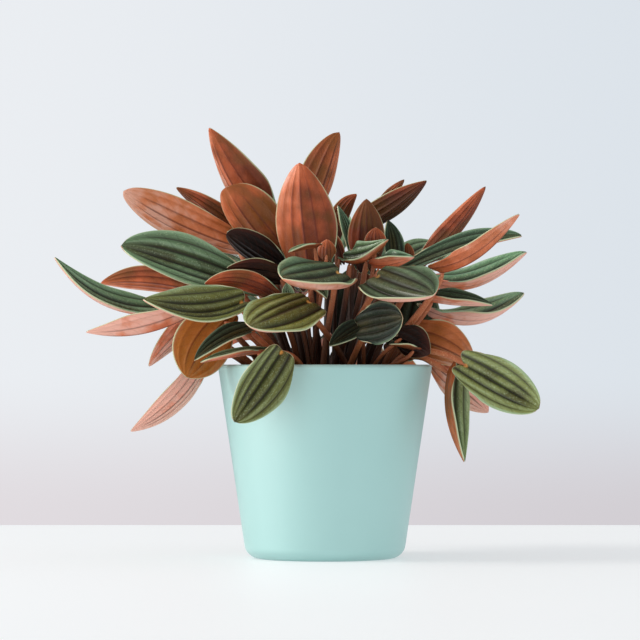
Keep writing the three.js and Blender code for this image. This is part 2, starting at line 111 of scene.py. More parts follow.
# %% Colours, and sums on sockets
def colour(code):
    """A screen colour such as #a5cdcb as the linear light that the shaders take."""
    parts = [int(code[i:i + 2], 16) / 255 for i in (1, 3, 5)]
    return (*[c / 12.92 if c < 0.04 else ((c + 0.055) / 1.055) ** 2.4 for c in parts], 1)


class Wire:
    """An output socket. Sums on it add Math nodes to its net."""

    def __init__(self, net, socket):
        self.net, self.socket = net, socket

    def math(self, operation, *values):
        return self.net.node("Math", dict(enumerate(values)), operation=operation)

    def __add__(self, other):
        return self.math("ADD", self, other)

    def __sub__(self, other):
        return self.math("SUBTRACT", self, other)

    def __rsub__(self, other):
        return self.math("SUBTRACT", other, self)

    def __mul__(self, other):
        return self.math("MULTIPLY", self, other)

    def __truediv__(self, other):
        return self.math("DIVIDE", self, other)

    def __abs__(self):
        return self.math("ABSOLUTE", self)

    __radd__, __rmul__ = __add__, __mul__

    def fold(self, spacing):
        """The distance from the nearest multiple of spacing."""
        return self.math("PINGPONG", self, spacing / 2)

    def step(self, low, high):
        """0 below low, 1 above high, and a smooth passage between them."""
        ends = {"Value": self, "From Min": low, "From Max": high}
        return self.net.node("MapRange", ends, interpolation_type="SMOOTHSTEP")


# %% [markdown]
# A net holds the nodes of the world or of a material. In a material, whatever stays the same all
# over is set on the surface when the finish is made, and only what varies is fed by nodes. All
# patterns hang on the object's own coordinates or on numbers that the mesh keeps, so they stay on
# the piece wherever it is seen from.

# %% A class for nets of nodes
class Net:
    """The nodes of a material or of the world."""

    def __init__(self, owner):
        owner.use_nodes = True
        self.owner, self.tree = owner, owner.node_tree

    def feed(self, socket, value):
        if isinstance(value, Wire):
            self.tree.links.new(value.socket, socket)
        else:
            socket.default_value = value

    def node(self, kind, values, output=None, **settings):
        """Any node: its settings first, then what its sockets get, by name or by number."""
        made = self.tree.nodes.new("ShaderNode" + kind)
        stops = settings.pop("stops", ())
        for setting, value in settings.items():
            setattr(made, setting, value)
        for i, (place, shade) in enumerate(stops):
            stop = made.color_ramp.elements[i] if i < 2 else made.color_ramp.elements.new(place)
            stop.position, stop.color = place, colour(shade)
        for name, value in values.items():
            usable = made.inputs if isinstance(name, int) else [
                s for s in made.inputs if s.enabled and s.name == name]
            self.feed(usable[name] if isinstance(name, int) else usable[0], value)
        outputs = [s for s in made.outputs if s.enabled and s.name == (output or s.name)]
        return Wire(self, outputs[0])

    def mix(self, share, first, second):
        """The first colour, or the second one where the share is 1. A colour may be a code."""
        first, second = (colour(c) if isinstance(c, str) else c for c in (first, second))
        return self.node("Mix", {"Factor": share, "A": first, "B": second}, data_type="RGBA")

    def coats(self, ground, *layers):
        """The ground under layers, each given as the share that it covers and its colour."""
        for share, shade in layers:
            ground = self.mix(share, ground, shade)
        return ground

    def split(self, vector):
        """The three numbers of a vector."""
        return [self.node("SeparateXYZ", {"Vector": vector}, axis) for axis in "XYZ"]


# %% A class for finishes
class Finish(Net):
    """A material and the nodes that feed its surface."""

    def __init__(self, name, **constants):
        super().__init__(bpy.data.materials.new(name))
        self.surface = self.tree.nodes["Principled BSDF"]
        for words, value in constants.items():
            self.surface.inputs[words.replace("_", " ")].default_value = value

    def kept(self, attribute):
        """A vector that the mesh keeps at each of its points."""
        return self.node("Attribute", {}, "Vector", attribute_name=attribute)

    def place(self):
        """The point's place on the object, which stays with it wherever it stands."""
        return self.node("TexCoord", {}, "Object")

    def noise(self, size, detail=2.0, roughness=0.5, place=None):
        """Cloudy variation from 0 to 1 whose clouds are about size metres across."""
        values = {"Vector": place or self.place(), "Scale": 1 / size, "Detail": detail}
        return self.node("TexNoise", {**values, "Roughness": roughness}, "Fac")

    def bump(self, height, depth, strength):
        """The surface's direction as if the height, from 0 to 1, were relief of that depth."""
        values = {"Height": height, "Distance": depth, "Strength": strength}
        return self.node("Bump", values, "Normal")

    def show(self, **values):
        """Feeds the surface, and reports how large the net of nodes has become."""
        for words, value in values.items():
            self.feed(self.surface.inputs[words.replace("_", " ")], value)
        print("finish:", self.owner.name, len(self.tree.nodes), "nodes")


# %% [markdown]
# ## Table, backdrop and light
# The pot stands on a white table top. Its far edge is the soft line behind the pot, and beyond it
# there is only a pale wall, which the world's colour gives. The light is mostly the even brightness
# of a white room. A soft lamp high on the left adds a little direction to it, and a larger one,
# which only shows as a reflection, gives the pot and the leaves the sheen of a window.

# %% Make the table
TABLE_EDGE = 390 * MM  # the far edge, behind the pot's middle
TABLE_REACH = 3000 * MM

table_shape = bmesh.new()
bmesh.ops.create_grid(table_shape, x_segments=1, y_segments=1, size=TABLE_REACH)
bmesh.ops.translate(table_shape, verts=table_shape.verts, vec=(0, TABLE_EDGE - TABLE_REACH, 0))
table_mesh = bpy.data.meshes.new("table")
table_shape.to_mesh(table_mesh)
table_shape.free()
table = bpy.data.objects.new("table", table_mesh)
bpy.context.scene.collection.objects.link(table)
print("table:", round(2 * TABLE_REACH, 2), "m across, ending", TABLE_EDGE, "m behind the pot")

# %% Paint the table
paint = Finish("white_table", Roughness=0.5, Emission_Strength=0.46)
cloud = paint.noise(0.3)
paint.show(Base_Color=paint.mix(cloud, "#bcbec0", "#c0c2c3"), Emission_Color=colour("#f0f2f4"))
table_mesh.materials.append(paint.owner)

# %% [markdown]
# The wall is no object. Wherever the camera looks past the table, it sees the world's colour, a
# painted fall of light that darkens to the right, which also turns a little pink towards the table.
# For all other rays the world is one even, bright colour that fills the shadows. Reflections see
# less of it than the diffuse light does, because dark leaves would look dusty if they mirrored all
# of a bright room.

# %% Colour the wall
bpy.context.scene.view_settings.view_transform = "Standard"
bpy.context.scene.world = bpy.data.worlds.new("room")
room = Net(bpy.context.scene.world)

WALL_HALF_WIDTH = 0.12  # the slope to the picture's side, at which the wall is darkest
PINK_BAND = 0.046  # the slope down to the table's edge, where the wall is pinkest
FILL = 0.88  # the strength of the light from all round
GLOSS_LOSS = 0.65  # the share of it that reflections don't see

heading = room.node("TexCoord", {}, "Generated")
right, away, height = room.split(heading)
# painted light: the wall is brightest on the left and darkens to the right
rightness = (right / away).step(-WALL_HALF_WIDTH, WALL_HALF_WIDTH)
high = room.mix(rightness, "#ebeef2", "#dce3ea")
low = room.mix(rightness, "#e1dce0", "#d2ced3")
upness = (height / away).step(-PINK_BAND, 0.0)
wall = room.node("Background", {"Color": room.mix(upness, low, high)})
glossy = room.node("LightPath", {}, "Is Glossy Ray")
strength = FILL * (1 - GLOSS_LOSS * glossy)
fill = room.node("Background", {"Color": colour("#f2f4f6"), "Strength": strength})
seen = room.node("LightPath", {}, "Is Camera Ray")
both = room.node("MixShader", {0: seen, 1: fill, 2: wall})
room.feed(room.tree.nodes["World Output"].inputs["Surface"], both)
print("room:", len(room.tree.nodes), "nodes")


# %% [markdown]
# Two soft lamps stand on the left, where the photograph's window was. The first one lights the left
# side of the pot and throws the faint shadow. The second one is large and low and is hidden from
# the diffuse light, so it only shows as a soft gloss on the pot and the leaves.

# %% Light the plant
def add_lamp(name, place, aim, side, watts, tone):
    lamp = bpy.data.objects.new(name, bpy.data.lights.new(name, "AREA"))
    bpy.context.scene.collection.objects.link(lamp)
    lamp.location = place
    lamp.rotation_euler = (Vector(aim) - Vector(place)).to_track_quat("-Z", "Y").to_euler()
    lamp.data.shape, lamp.data.size, lamp.data.energy = "DISK", side, watts
    lamp.data.color = colour(tone)[:3]
    print("lamp:", name, watts, "W")
    return lamp


MIDDLE = (0, 0, 120 * MM)
add_lamp("window", (-1.6, -0.35, 1.3), MIDDLE, 0.8, 20, "#fffaf2")
sheen = add_lamp("window_sheen", (-1.7, -0.4, 0.5), MIDDLE, 1.8, 30, "#ffffff")
sheen.visible_diffuse = False

# %% [markdown]
# ## The pot
# The pot is a thin tapered wall with a rounded foot and a rounded lip, the same all round. So we
# draw half of its outline, spin it about the upright axis, and then bevel the rings where two
# walls meet, as a potter wipes an edge round with a thumb.

# %% Sizes of the pot
POT_HEIGHT = 108 * MM
POT_RIM_RADIUS = 60 * MM
POT_TAPER = 16.1 * MM
POT_WALL = 3.6 * MM
POT_FLOOR = 5 * MM
FOOT_ROUNDING = 8 * MM
LIP_OUTSIDE = 2 * MM
LIP_INSIDE = 1.2 * MM
FLOOR_ROUNDING = 4 * MM
TURNS = 144


def wall_radius(z):
    """The radius of the pot's outside at a height."""
    return POT_RIM_RADIUS - POT_TAPER * (1 - z / POT_HEIGHT)


print("pot:", round(2 * wall_radius(0), 4), "m wide below,", 2 * POT_RIM_RADIUS, "m at the rim")


# %% Helpers that turn an outline and keep a piece
def spun(corners, steps):
    """Corners as (radius, height), from the axis at the bottom to the axis at the top."""
    shape = bmesh.new()
    points = [shape.verts.new((x, 0, z)) for x, z in corners]
    lines = [shape.edges.new(pair) for pair in zip(points, points[1:])]
    bmesh.ops.spin(shape, geom=points + lines, cent=(0, 0, 0), axis=(0, 0, 1), dvec=(0, 0, 0),
                   angle=math.tau, steps=steps, use_merge=True, use_duplicate=False)
    bmesh.ops.remove_doubles(shape, verts=shape.verts, dist=1e-6)
    bmesh.ops.recalc_face_normals(shape, faces=shape.faces)
    return shape


def round_ring(shape, radius, height, rounding, opening, steps):
    """Rounds the ring of edges at that radius and height, where the walls open by an angle."""
    ring = [edge for edge in shape.edges if all(
        abs(math.hypot(v.co.x, v.co.y) - radius) < 1e-5 and abs(v.co.z - height) < 1e-5
        for v in edge.verts)]
    bmesh.ops.bevel(shape, geom=ring, offset=rounding / math.tan(opening / 2), segments=steps,
                    profile=0.5, affect="EDGES", material=-1, clamp_overlap=False)


def keep_piece(shape, name, finishes, node):
    """Makes the shape an object that stands for a node of the frame and rides on the root."""
    mesh = bpy.data.meshes.new(name)
    shape.to_mesh(mesh)
    shape.free()
    mesh.shade_smooth()
    for finish in finishes:
        mesh.materials.append(finish.owner)
    piece = bpy.data.objects.new(name, mesh)
    bpy.context.scene.collection.objects.link(piece)
    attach(piece, "root")
    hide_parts(node)
    return piece


# %% [markdown]
# ### The pot's finish
# The real pot has a satin coat of mint green, very even, with the faintest orange-peel texture. A
# painted shadow makes it slightly darker where it meets the table.

# %% Mix the pot's finish
glaze = Finish("mint_satin", IOR=1.6, Coat_Weight=0.8, Coat_Roughness=0.5, Coat_IOR=1.6)
z = glaze.split(glaze.place())[2]
clouds = glaze.noise(40 * MM, detail=3)
# painted shadow: the bottom six millimetres of the pot are darkened where it stands on the table
painted_foot_shadow = 1 - z.step(0, 6 * MM)
mint = glaze.mix(painted_foot_shadow * 0.35, glaze.mix(clouds, "#a5d4d0", "#abd8d5"), "#7fb0aa")
peel = glaze.noise(1.1 * MM, detail=1)
glaze.show(Base_Color=mint, Roughness=0.46 + 0.08 * glaze.noise(15 * MM),
           Normal=glaze.bump(peel, 0.03 * MM, 0.5))

# %% Turn the pot
slant = math.atan2(POT_TAPER, POT_HEIGHT)  # how far the wall leans out from upright
inner_top = wall_radius(POT_HEIGHT) - POT_WALL
inner_floor = wall_radius(POT_FLOOR) - POT_WALL
pot_shape = spun([(0, 0), (wall_radius(0), 0), (wall_radius(POT_HEIGHT), POT_HEIGHT),
                  (inner_top, POT_HEIGHT), (inner_floor, POT_FLOOR), (0, POT_FLOOR)], TURNS)
right_angle = math.pi / 2
round_ring(pot_shape, wall_radius(0), 0, FOOT_ROUNDING, right_angle + slant, 10)
round_ring(pot_shape, wall_radius(POT_HEIGHT), POT_HEIGHT, LIP_OUTSIDE, right_angle - slant, 6)
round_ring(pot_shape, inner_top, POT_HEIGHT, LIP_INSIDE, right_angle + slant, 5)
round_ring(pot_shape, inner_floor, POT_FLOOR, FLOOR_ROUNDING, right_angle + slant, 4)
print("pot:", len(pot_shape.faces), "faces")
pot = keep_piece(pot_shape, "pot_body", [glaze], "pot")

# %% [markdown]
# ## The soil
# Potting soil is a dark crumbly mass. Its body is spun like the pot, with enough rings on top for
# a noise to push the surface up and down. Loose crumbs are small lumps, each knocked out of round,
# strewn over it with a fixed seed so that they fall the same way every time.

# %% Shape the soil
SOIL_HEIGHT = 98.5 * MM
SOIL_EDGE_DROP = 1.5 * MM
SOIL_LEVEL_RADIUS = 48 * MM
GAP = 0.3 * MM
UNEVENNESS = 1.2 * MM
LUMPS_PER_METRE = 160
HOLLOWS_PER_METRE = 60
CORNER_CUT = 3 * MM  # the soil's lower corner is cut off, because the pot's floor is rounded there
CORNER_RISE = 4 * MM
SOIL_RINGS = 44
SOIL_TURNS = 96


def soil_top(radius):
    """The height of the soil at a distance from the axis."""
    slope_width = wall_radius(SOIL_HEIGHT) - POT_WALL - SOIL_LEVEL_RADIUS
    fall = max(0, radius - SOIL_LEVEL_RADIUS) / slope_width
    return SOIL_HEIGHT - SOIL_EDGE_DROP * fall


inset = POT_WALL + GAP
edge_height = SOIL_HEIGHT - SOIL_EDGE_DROP
edge_radius = wall_radius(edge_height) - inset
bottom = POT_FLOOR + GAP
corner_top = bottom + CORNER_RISE
corners = [(0, bottom), (wall_radius(bottom) - inset - CORNER_CUT, bottom),
           (wall_radius(corner_top) - inset, corner_top)]
for ring in range(SOIL_RINGS + 1):
    radius = edge_radius * (1 - ring / SOIL_RINGS)
    corners.append((radius, soil_top(radius)))
soil_shape = spun(corners, SOIL_TURNS)
for vert in soil_shape.verts:
    radius = math.hypot(vert.co.x, vert.co.y)
    if vert.co.z > edge_height - MM and radius < edge_radius - MM:
        lumps = noise.fractal(vert.co * LUMPS_PER_METRE, 0.6, 2.0, 4)
        lumps += 0.5 * noise.noise(vert.co * HOLLOWS_PER_METRE)
        vert.co.z += UNEVENNESS * (0.8 * lumps - 0.3)
print("soil's body:", len(soil_shape.faces), "faces")

# %% Strew the crumbs
CRUMBS = 900
CRUMB_RADII = (0.5, 0.6, 0.8, 1.0, 1.3, 1.8)  # in millimetres
CRUMB_MARGIN = 2.5 * MM  # kept free along the pot's wall
CRUMB_SUNK = 0.2  # the share of its radius by which a crumb's middle lies under the surface

chance = random.Random(5)
for crumb in range(CRUMBS):
    size = MM * chance.choice(CRUMB_RADII)
    radius = (edge_radius - CRUMB_MARGIN) * math.sqrt(chance.random())
    turn = chance.uniform(0, math.tau)
    level = soil_top(radius) - CRUMB_SUNK * size
    middle = Vector((radius * math.cos(turn), radius * math.sin(turn), level))
    stretch = Matrix.Diagonal((chance.uniform(0.7, 1.4), chance.uniform(0.7, 1.2), 0.75, 1))
    spin = Matrix.Rotation(chance.uniform(0, math.tau), 4, "Z")
    lump = bmesh.ops.create_icosphere(soil_shape, subdivisions=1, radius=size,
                                      matrix=Matrix.Translation(middle) @ spin @ stretch)
    for vert in lump["verts"]:
        vert.co += (vert.co - middle) * 0.5 * noise.noise(vert.co * 900)
print("crumbs:", CRUMBS)

# %% [markdown]
# ### The soil's finish
# Moist compost is nearly black in its pores and brown on its fibres. One fine noise gives both the
# colour and the relief, so that the light spots are also the ones that stand up.

# %% Mix the soil's finish
earth = Finish("potting_soil")
grain = earth.noise(2.2 * MM, detail=6, roughness=0.65)
patches = earth.noise(14 * MM, detail=2)
shades = [(0.3, "#120b07"), (0.55, "#2a1c12"), (0.75, "#4a3423")]
brown = earth.node("ValToRGB", {"Fac": 0.75 * grain + 0.25 * patches}, "Color", stops=shades)
earth.show(Base_Color=brown, Roughness=0.85 + 0.15 * grain,
           Normal=earth.bump(grain, 0.8 * MM, 1))
print("soil:", len(soil_shape.faces), "faces")
soil = keep_piece(soil_shape, "soil_surface", [earth], "soil")

# %% [markdown]
# ## The leaves
# Each leaf is a pleated heart on a stalk, and has one row in a table: the place where its stalk
# joins the blade, its tip, its width and the direction that its top faces, all in millimetres, and
# then what is special about it.
#
# fold is the angle by which both halves rise from the rib, and curl adds to it towards the margin.
# rim is the height of the turned-up margins, and roll adds to it on one side. point is the tip's
# sharpness, full is how full the outline is at the base and lobe how far it reaches back behind
# the stalk. twist turns the blade along its rib and bend moves the rib's middle. rise and reach
# are the lengths of the stalk's handles, arrive is the way it meets the blade, and foot is where
# it stands. tint says how dark the underside is and how light the top, which are partly the leaf's
# own tone and partly painted light and shade, and then, where more numbers follow, how olive the
# top is, how amber the underside, partly from its own tone and partly from painted light shining
# through it, and how its darkness changes across it, a painted shade on the half that faces away
# from the light.

# %% What a leaf has unless its row says otherwise
USUAL = dict(fold=18, curl=25, rim=0, roll=0, point=0.85, full=0.14, lobe=0.13, twist=0,
             bend=(0, 0, 0), rise=0.35, reach=0.3, foot=None, arrive=None, tint=(0.5, 0.5))

# %% What the leaves of one young shoot share
SHOOTS = {
    "young_shoot_1": dict(foot=(-7, -19), tint=(0.5, 0.6, 0.2, 0.1)),
    "young_shoot_2": dict(foot=(17, -5), tint=(0.55, 0.4)),
    "young_shoot_3": dict(foot=(21, -18), tint=(0.5, 0.05)),
    "young_shoot_4": dict(foot=(6, 7), tint=(0.6, 0.4)),
}

# %% The leaves at the top
TOP_LEAVES = [
    ((-32, 12, 185), (-65, 2, 241), 36, (0.8, 1, 0.5),
     dict(fold=22, bend=(-4, 0, -3), foot=(-13, 6), tint=(0.42, 0.4, 0, 0, -0.3))),
    ((-19, -5, 163), (-55, -14, 207), 37, (0.5, 1, 0.3),
     dict(point=0.45, bend=(-2, 0, -2), foot=(-8, -1), tint=(0.47, 0.4, 0, 0.15, -0.15))),
    ((-8, -29, 156), (-14, -37, 219), 40, (0.2, 1, 0.05),
     dict(point=0.75, full=0.2, bend=(-1.5, 0, 0), foot=(-1, -4), tint=(0.46, 0.4, 0, 0, -0.2))),
    ((-12, 18, 183), (8, 24, 240), 30, (-0.8, 1, 0),
     dict(fold=25, point=0.65, bend=(2, 0, 1), tint=(0.52, 0.3, 0, 0.15, 0.2))),
    ((23, -13, 163), (23, -19, 200), 24, (0, 1, 0.1),
     dict(foot=(10, -5), tint=(0.7, 0.3, 0, 0, -0.1))),
    ((18, 8, 184), (57, -2, 211), 20, (-0.1, 1, 0.8),
     dict(bend=(0, 0, -2.5), foot=(12, 9), tint=(0.8, 0.4, 0, 0, -0.1))),
    ((38, -5, 163), (35, -1, 189), 14, (0.3, -1, 0.2),
     dict(bend=(1, 0, 0), foot=(13, 2), tint=(0.6, 0.05))),
    ((53, 4, 164), (90, 0, 208), 16, (-0.2, 1, 0.3),
     dict(fold=28, bend=(1.5, 0, -1.5), foot=(20, 6), tint=(0.6, 0.5, 0, 0, -0.2))),
]
print("top:", len(TOP_LEAVES))

# %% The leaves on the left
LEFT_LEAVES = [
    ((-45, 21, 180), (-84, 12, 208), 16, (0.2, 1, 0.6), dict(foot=(-17, 9))),
    ((-47, 9, 174), (-113, -3, 205), 28, (0.1, 1, 0.4),
     dict(point=0.6, bend=(-1, 0, -3), tint=(0.12, 0.5, 0, 0.35, -0.2))),
    ((-22, -14, 160), (-54, -30, 181), 20, (0.1, 1, 0.4),
     dict(point=0.6, foot=(-11, -7), tint=(1, 0.2))),
    ((-45, -22, 151), (-112, -42, 173), 36, (0.1, -1, 0.6),
     dict(point=0.6, foot=(-18, -9), tint=(0.5, 0.5, 0.2))),
    ((-22, -25, 155), (-54, -38, 161), 18, (0, 1, 0.5), dict(foot=(-7, -10), tint=(0.9, 0.1))),
    ((-26, -34, 144), (-66, -48, 152), 15, (0, 1, 0.6),
     dict(bend=(0, 0, 5), foot=(-13, -14), tint=(0.55, 0.4))),
    ((-78, 8, 151), (-127, 18, 154), 20, (0, 1, 0.6),
     dict(bend=(0, 0, 2), foot=(-31, 6), tint=(0.4, 0.4, 0, 0.1, -0.25))),
    ((-87, 0, 137), (-151, -8, 168), 24, (0, -0.6, 1),
     dict(fold=25, bend=(-5, 0, -11), tint=(-0.05, 0.6, 0.1))),
    ((-44, -48, 142), (-98, -75, 143), 30, (0, -1, 0.7),
     dict(point=0.75, full=0.22, lobe=0.05, rim=2, bend=(0, 0, -7), foot=(-18, -14),
          tint=(0.2, 0.5, 0.9))),
    ((-75, -30, 135), (-132, -27, 126), 25, (0, 0.4, 1),
     dict(fold=36, bend=(0, 0, -6), foot=(-33, -11), tint=(-0.05, 0.9))),
    ((-67, -12, 136), (-98, -15, 107), 18, (-0.5, 1, 0.8),
     dict(rise=0.6, foot=(-24, -8), tint=(0, 0.5))),
    ((-54, -30, 134), (-76, -42, 101), 36, (-0.3, 1, 0.3),
     dict(fold=6, curl=12, point=0.7, bend=(-2, 0, 0), foot=(-23, -17), tint=(0.4, 0.4, 0, 1))),
    ((-38, -47, 127), (-71, -60, 110), 18, (-0.3, -0.8, 1),
     dict(bend=(0, 0, 2), foot=(-18, -19), tint=(0.5, 0.05, 0.2))),
    ((-34, -50, 115), (-68, -52, 109), 14, (0, -0.2, 1),
     dict(foot=(-13, -25), tint=(0.45, 0.3, 0.4))),
    ((-67, -12, 109), (-108, -17, 71), 19, (-0.6, 1, 0.3),
     dict(bend=(4, 0, -4), foot=(-28, -4), arrive=(-1, 0, -0.8), rise=0.7, reach=0.4,
          tint=(-0.1, 0.6))),
]
print("left:", len(LEFT_LEAVES))

# %% The leaves in front
FRONT_LEAVES = [
    ((-23, -68, 116), (-49, -72, 77), 32, (0.45, -1, 0),
     dict(point=0.6, full=0.4, lobe=0.02, foot=(-9, -27), arrive=(-0.3, -1, -0.2),
          tint=(0.35, 0.46, 0.85))),
    ((-8, -53, 142), (-40, -90, 128), 40, (-0.1, -1.5, 1),
     dict(point=0.6, full=0.4, lobe=0.1, fold=-18, curl=0, rim=3, roll=-7, foot=(15, -15),
          tint=(0.1, 0.55, 0.95))),
    ((8, -43, 158), (-23, -78, 154), 40, (0, -1.6, 1.2),
     dict(point=0.6, full=0.35, lobe=0.1, fold=-8, curl=0, rim=2, roll=-14, bend=(0, 0, -2),
          foot=(-2, -23), tint=(0.1, 0.32, 0.2))),
    ((28, -47, 156), (58, -82, 145), 42, (0, -1, 0.6),
     dict(point=0.7, full=0.35, lobe=0.1, fold=-14, curl=0, rim=1, roll=15, bend=(0, 0, -1),
          foot=(2, -13), tint=(0.05, 0.18, 0.35))),
    ((20, -54, 128), (42, -74, 133), 24, (-0.1, -1, 0.15),
     dict(point=0.5, full=0.4, lobe=0.14, fold=5, curl=10, foot=(11, -21), tint=(0.5, 0))),
    ((11, -23, 165), (35, -35, 177), 24, (0, -0.8, 1),
     dict(fold=36, curl=20, bend=(0, 0, -5.5), foot=(5, -9), tint=(0.3, 0.6, 0.3, 0.1))),
    ((27, -26, 162), (49, -38, 167), 24, (0, -0.3, 1),
     dict(fold=35, curl=20, bend=(0, 0, -3), foot=(10, -12), tint=(0.3, 0.5))),
]
print("front:", len(FRONT_LEAVES))

# %% The leaves on the right
RIGHT_LEAVES = [
    ((48, -14, 161), (109, -25, 179), 24, (0, -0.6, 1),
     dict(point=0.7, bend=(0, 0, 1.5), foot=(24, -8), tint=(0.4, 0.2))),
    ((63, -29, 159), (106, -52, 190), 21, (0, 0.25, 1),
     dict(fold=30, point=0.7, full=0.3, bend=(1, 0, -7), foot=(29, -12),
          tint=(0.28, 0.4, 0, 0.1, -0.1))),
    ((60, 20, 153), (115, 30, 172), 28, (0, -0.4, 1),
     dict(fold=38, curl=14, point=0.6, bend=(0, 0, -10), foot=(26, 10), tint=(0.05, 1.2))),
    ((59, 30, 136), (114, 40, 149), 28, (0, 0, 1),
     dict(fold=38, curl=14, point=0.6, twist=-40, bend=(2, 0, -11), foot=(23, 15), tint=(0, 1.3))),
    ((57, -10, 144), (93, -16, 141), 20, (0, -0.4, 1),
     dict(fold=35, curl=14, bend=(0, 0, -1.5), foot=(31, -7), tint=(0.1, 0.15))),
    ((48, 0, 123), (83, -4, 108), 30, (0.1, 1, 0.4),
     dict(point=0.7, full=0.3, bend=(0, 0, 2), foot=(27, 2), tint=(0.25, 0.3, 0, 0.6))),
    ((76, -35, 108), (118, -42, 84), 30, (0.2, -1, 0),
     dict(point=0.55, full=0.4, lobe=0.1, fold=14, curl=20, foot=(33, -18), arrive=(1, -0.3, -0.8),
          rise=0.6, reach=0.4, tint=(0.35, 0.85, 0.75))),
    ((69, -20, 106), (77, -25, 54), 28, (1, -0.65, 0),
     dict(fold=45, curl=10, bend=(-6, 0, 0), foot=(36, -11), arrive=(1, -0.2, -1), rise=0.8,
          reach=0.45, tint=(0.4, 0.8, 0.5, 0.3))),
    ((64, 15, 106), (92, 10, 81), 24, (0.3, 1, 0),
     dict(foot=(31, 7), arrive=(1, 0.1, -1), rise=0.8, reach=0.45, tint=(0, 0.6))),
]
print("right:", len(RIGHT_LEAVES))

# %% The leaves at the back
BACK_LEAVES = [
    ((-32, 44, 121), (-64, 88, 113), 28, (-0.3, 0.4, 1),
     dict(rim=1, bend=(0, 0, 5), tint=(0.4, 0.5))),
    ((-6, 54, 122), (-10, 104, 102), 30, (0, 0.5, 1),
     dict(rim=2, bend=(0, 0, 6), tint=(0.3, 0.6, 0.5))),
    ((17, 54, 113), (26, 94, 96), 28, (0.3, 0.4, 1),
     dict(bend=(0, 0, 6), foot=(8, 22), tint=(0.5, 0.45, 0.3, 0.2))),
    ((-44, 34, 141), (-80, 78, 134), 28, (-0.2, 0.1, 1),
     dict(bend=(0, 0, 4), foot=(-22, 17), tint=(0.35, 0.5))),
    ((-14, 44, 150), (-22, 98, 138), 30, (0, 0.3, 1), dict(bend=(0, 0, 5), tint=(0.5, 0.6, 0.6))),
    ((14, 42, 122), (24, 60, 168), 38, (0, -1, 0.3),
     dict(fold=6, curl=10, tint=(0.45, 0.1, 0, 0.3))),
    ((44, 38, 116), (54, 52, 160), 36, (0.2, -1, 0.3),
     dict(fold=6, curl=10, foot=(18, 17), tint=(0.35, 0.1))),
    ((2, 30, 168), (8, 76, 200), 26, (0, -1, 0.4), dict(bend=(0, 4, 0), tint=(0.5, 0.5, 0.2, 0.1))),
    ((-28, 30, 172), (-46, 68, 200), 26, (0.3, -1, 0.6),
     dict(bend=(0, 3, 0), tint=(0.4, 0.55, 0.5))),
    ((24, 28, 160), (36, 66, 182), 24, (-0.3, -1, 0.8),
     dict(bend=(0, 3, 0), foot=(13, 15), tint=(0.55, 0.4, 0, 0.2))),
    ((-24, 54, 114), (-42, 82, 72), 28, (-0.2, 1, 0.5),
     dict(bend=(-2, 5, 2), foot=(-7, 24), arrive=(-0.5, 1, -0.4), tint=(0.3, 0.6, 0.4))),
    ((34, 50, 114), (52, 76, 74), 26, (0.4, 1, 0.4),
     dict(bend=(2, 5, 2), foot=(15, 23), arrive=(0.5, 1, -0.4), tint=(0.4, 0.5, 0.7, 0.2))),
    ((2, 60, 111), (6, 90, 70), 28, (0, 1, 0.4),
     dict(bend=(0, 5, 2), foot=(1, 25), arrive=(0, 1, -0.4), tint=(0.6, 0.35, 0.2))),
    ((-40, 22, 158), (-76, 52, 174), 26, (0, -0.6, 1),
     dict(bend=(0, 0, 2), foot=(-15, 15), tint=(0.35, 0.5))),
    ((44, 26, 160), (68, 58, 177), 28, (0, -0.3, 1),
     dict(bend=(0, 0, 2), foot=(19, 12), tint=(0.45, 0.5, 0.3))),
]
print("back:", len(BACK_LEAVES))

# %% The small leaves of the young shoots
YOUNG_LEAVES = [
    ("young_shoot_1", (-4, -36, 173), (-20, -54, 169), 9, (0, 0.1, 1), {}),
    ("young_shoot_1", (1, -33, 166), (1, -34, 177), 12, (0, 1, 0.2), {}),
    ("young_shoot_1", (-18, -38, 143), (-21, -40, 153), 9, (-0.5, -1, 0.2), {}),
    ("young_shoot_1", (-9, -36, 152), (1, -40, 144), 14, (0.2, -0.5, 1), dict(rim=1)),
    ("young_shoot_2", (28, -20, 171), (28, -22, 184), 14, (0, 1, 0.2), {}),
    ("young_shoot_2", (47, -4, 165), (46, -4, 176), 8, (0, 1, 0), {}),
    ("young_shoot_2", (17, -1, 165), (7, -5, 197), 10, (0.6, -0.8, 0), {}),
    ("young_shoot_3", (22, -36, 130), (2, -45, 118), 14, (-0.2, -1, 0.5), {}),
    ("young_shoot_3", (52, -30, 116), (35, -35, 119), 14, (0, -0.3, 1), {}),
    ("young_shoot_3", (40, -32, 124), (58, -34, 114), 22, (0, 1, 0.3), dict(tint=(0.95, 0.1))),
    ("young_shoot_4", (9, -14, 165), (4, -16, 182), 8, (0.8, 1, 0), {}),
    ("young_shoot_4", (6, 12, 178), (18, 8, 204), 14, (-0.5, 1, 0), dict(bend=(-2, 0, 2))),
    ("young_shoot_4", (29, 24, 195), (45, 22, 213), 8, (0, 1, 0.4), {}),
]
leaf_places = {"top": TOP_LEAVES, "left": LEFT_LEAVES, "front": FRONT_LEAVES,
               "right": RIGHT_LEAVES, "back": BACK_LEAVES}
LEAVES = [(f"leaf_{place}_{number}", *row) for place, rows in leaf_places.items()
          for number, row in enumerate(rows, 1)] + YOUNG_LEAVES
print("leaves:", len(LEAVES))

# %% [markdown]
# ### The form of a blade
# Two numbers find a place on a blade: along runs from 0 at the base to 1 at the tip, and across
# from -1 to 1. The rib is a bent line, both halves rise from it at an angle, the margin waves a
# little, and between the veins the blade swells up in pleats. It is the form of the frame's leaf,
# only with a sharper furrow over each vein.

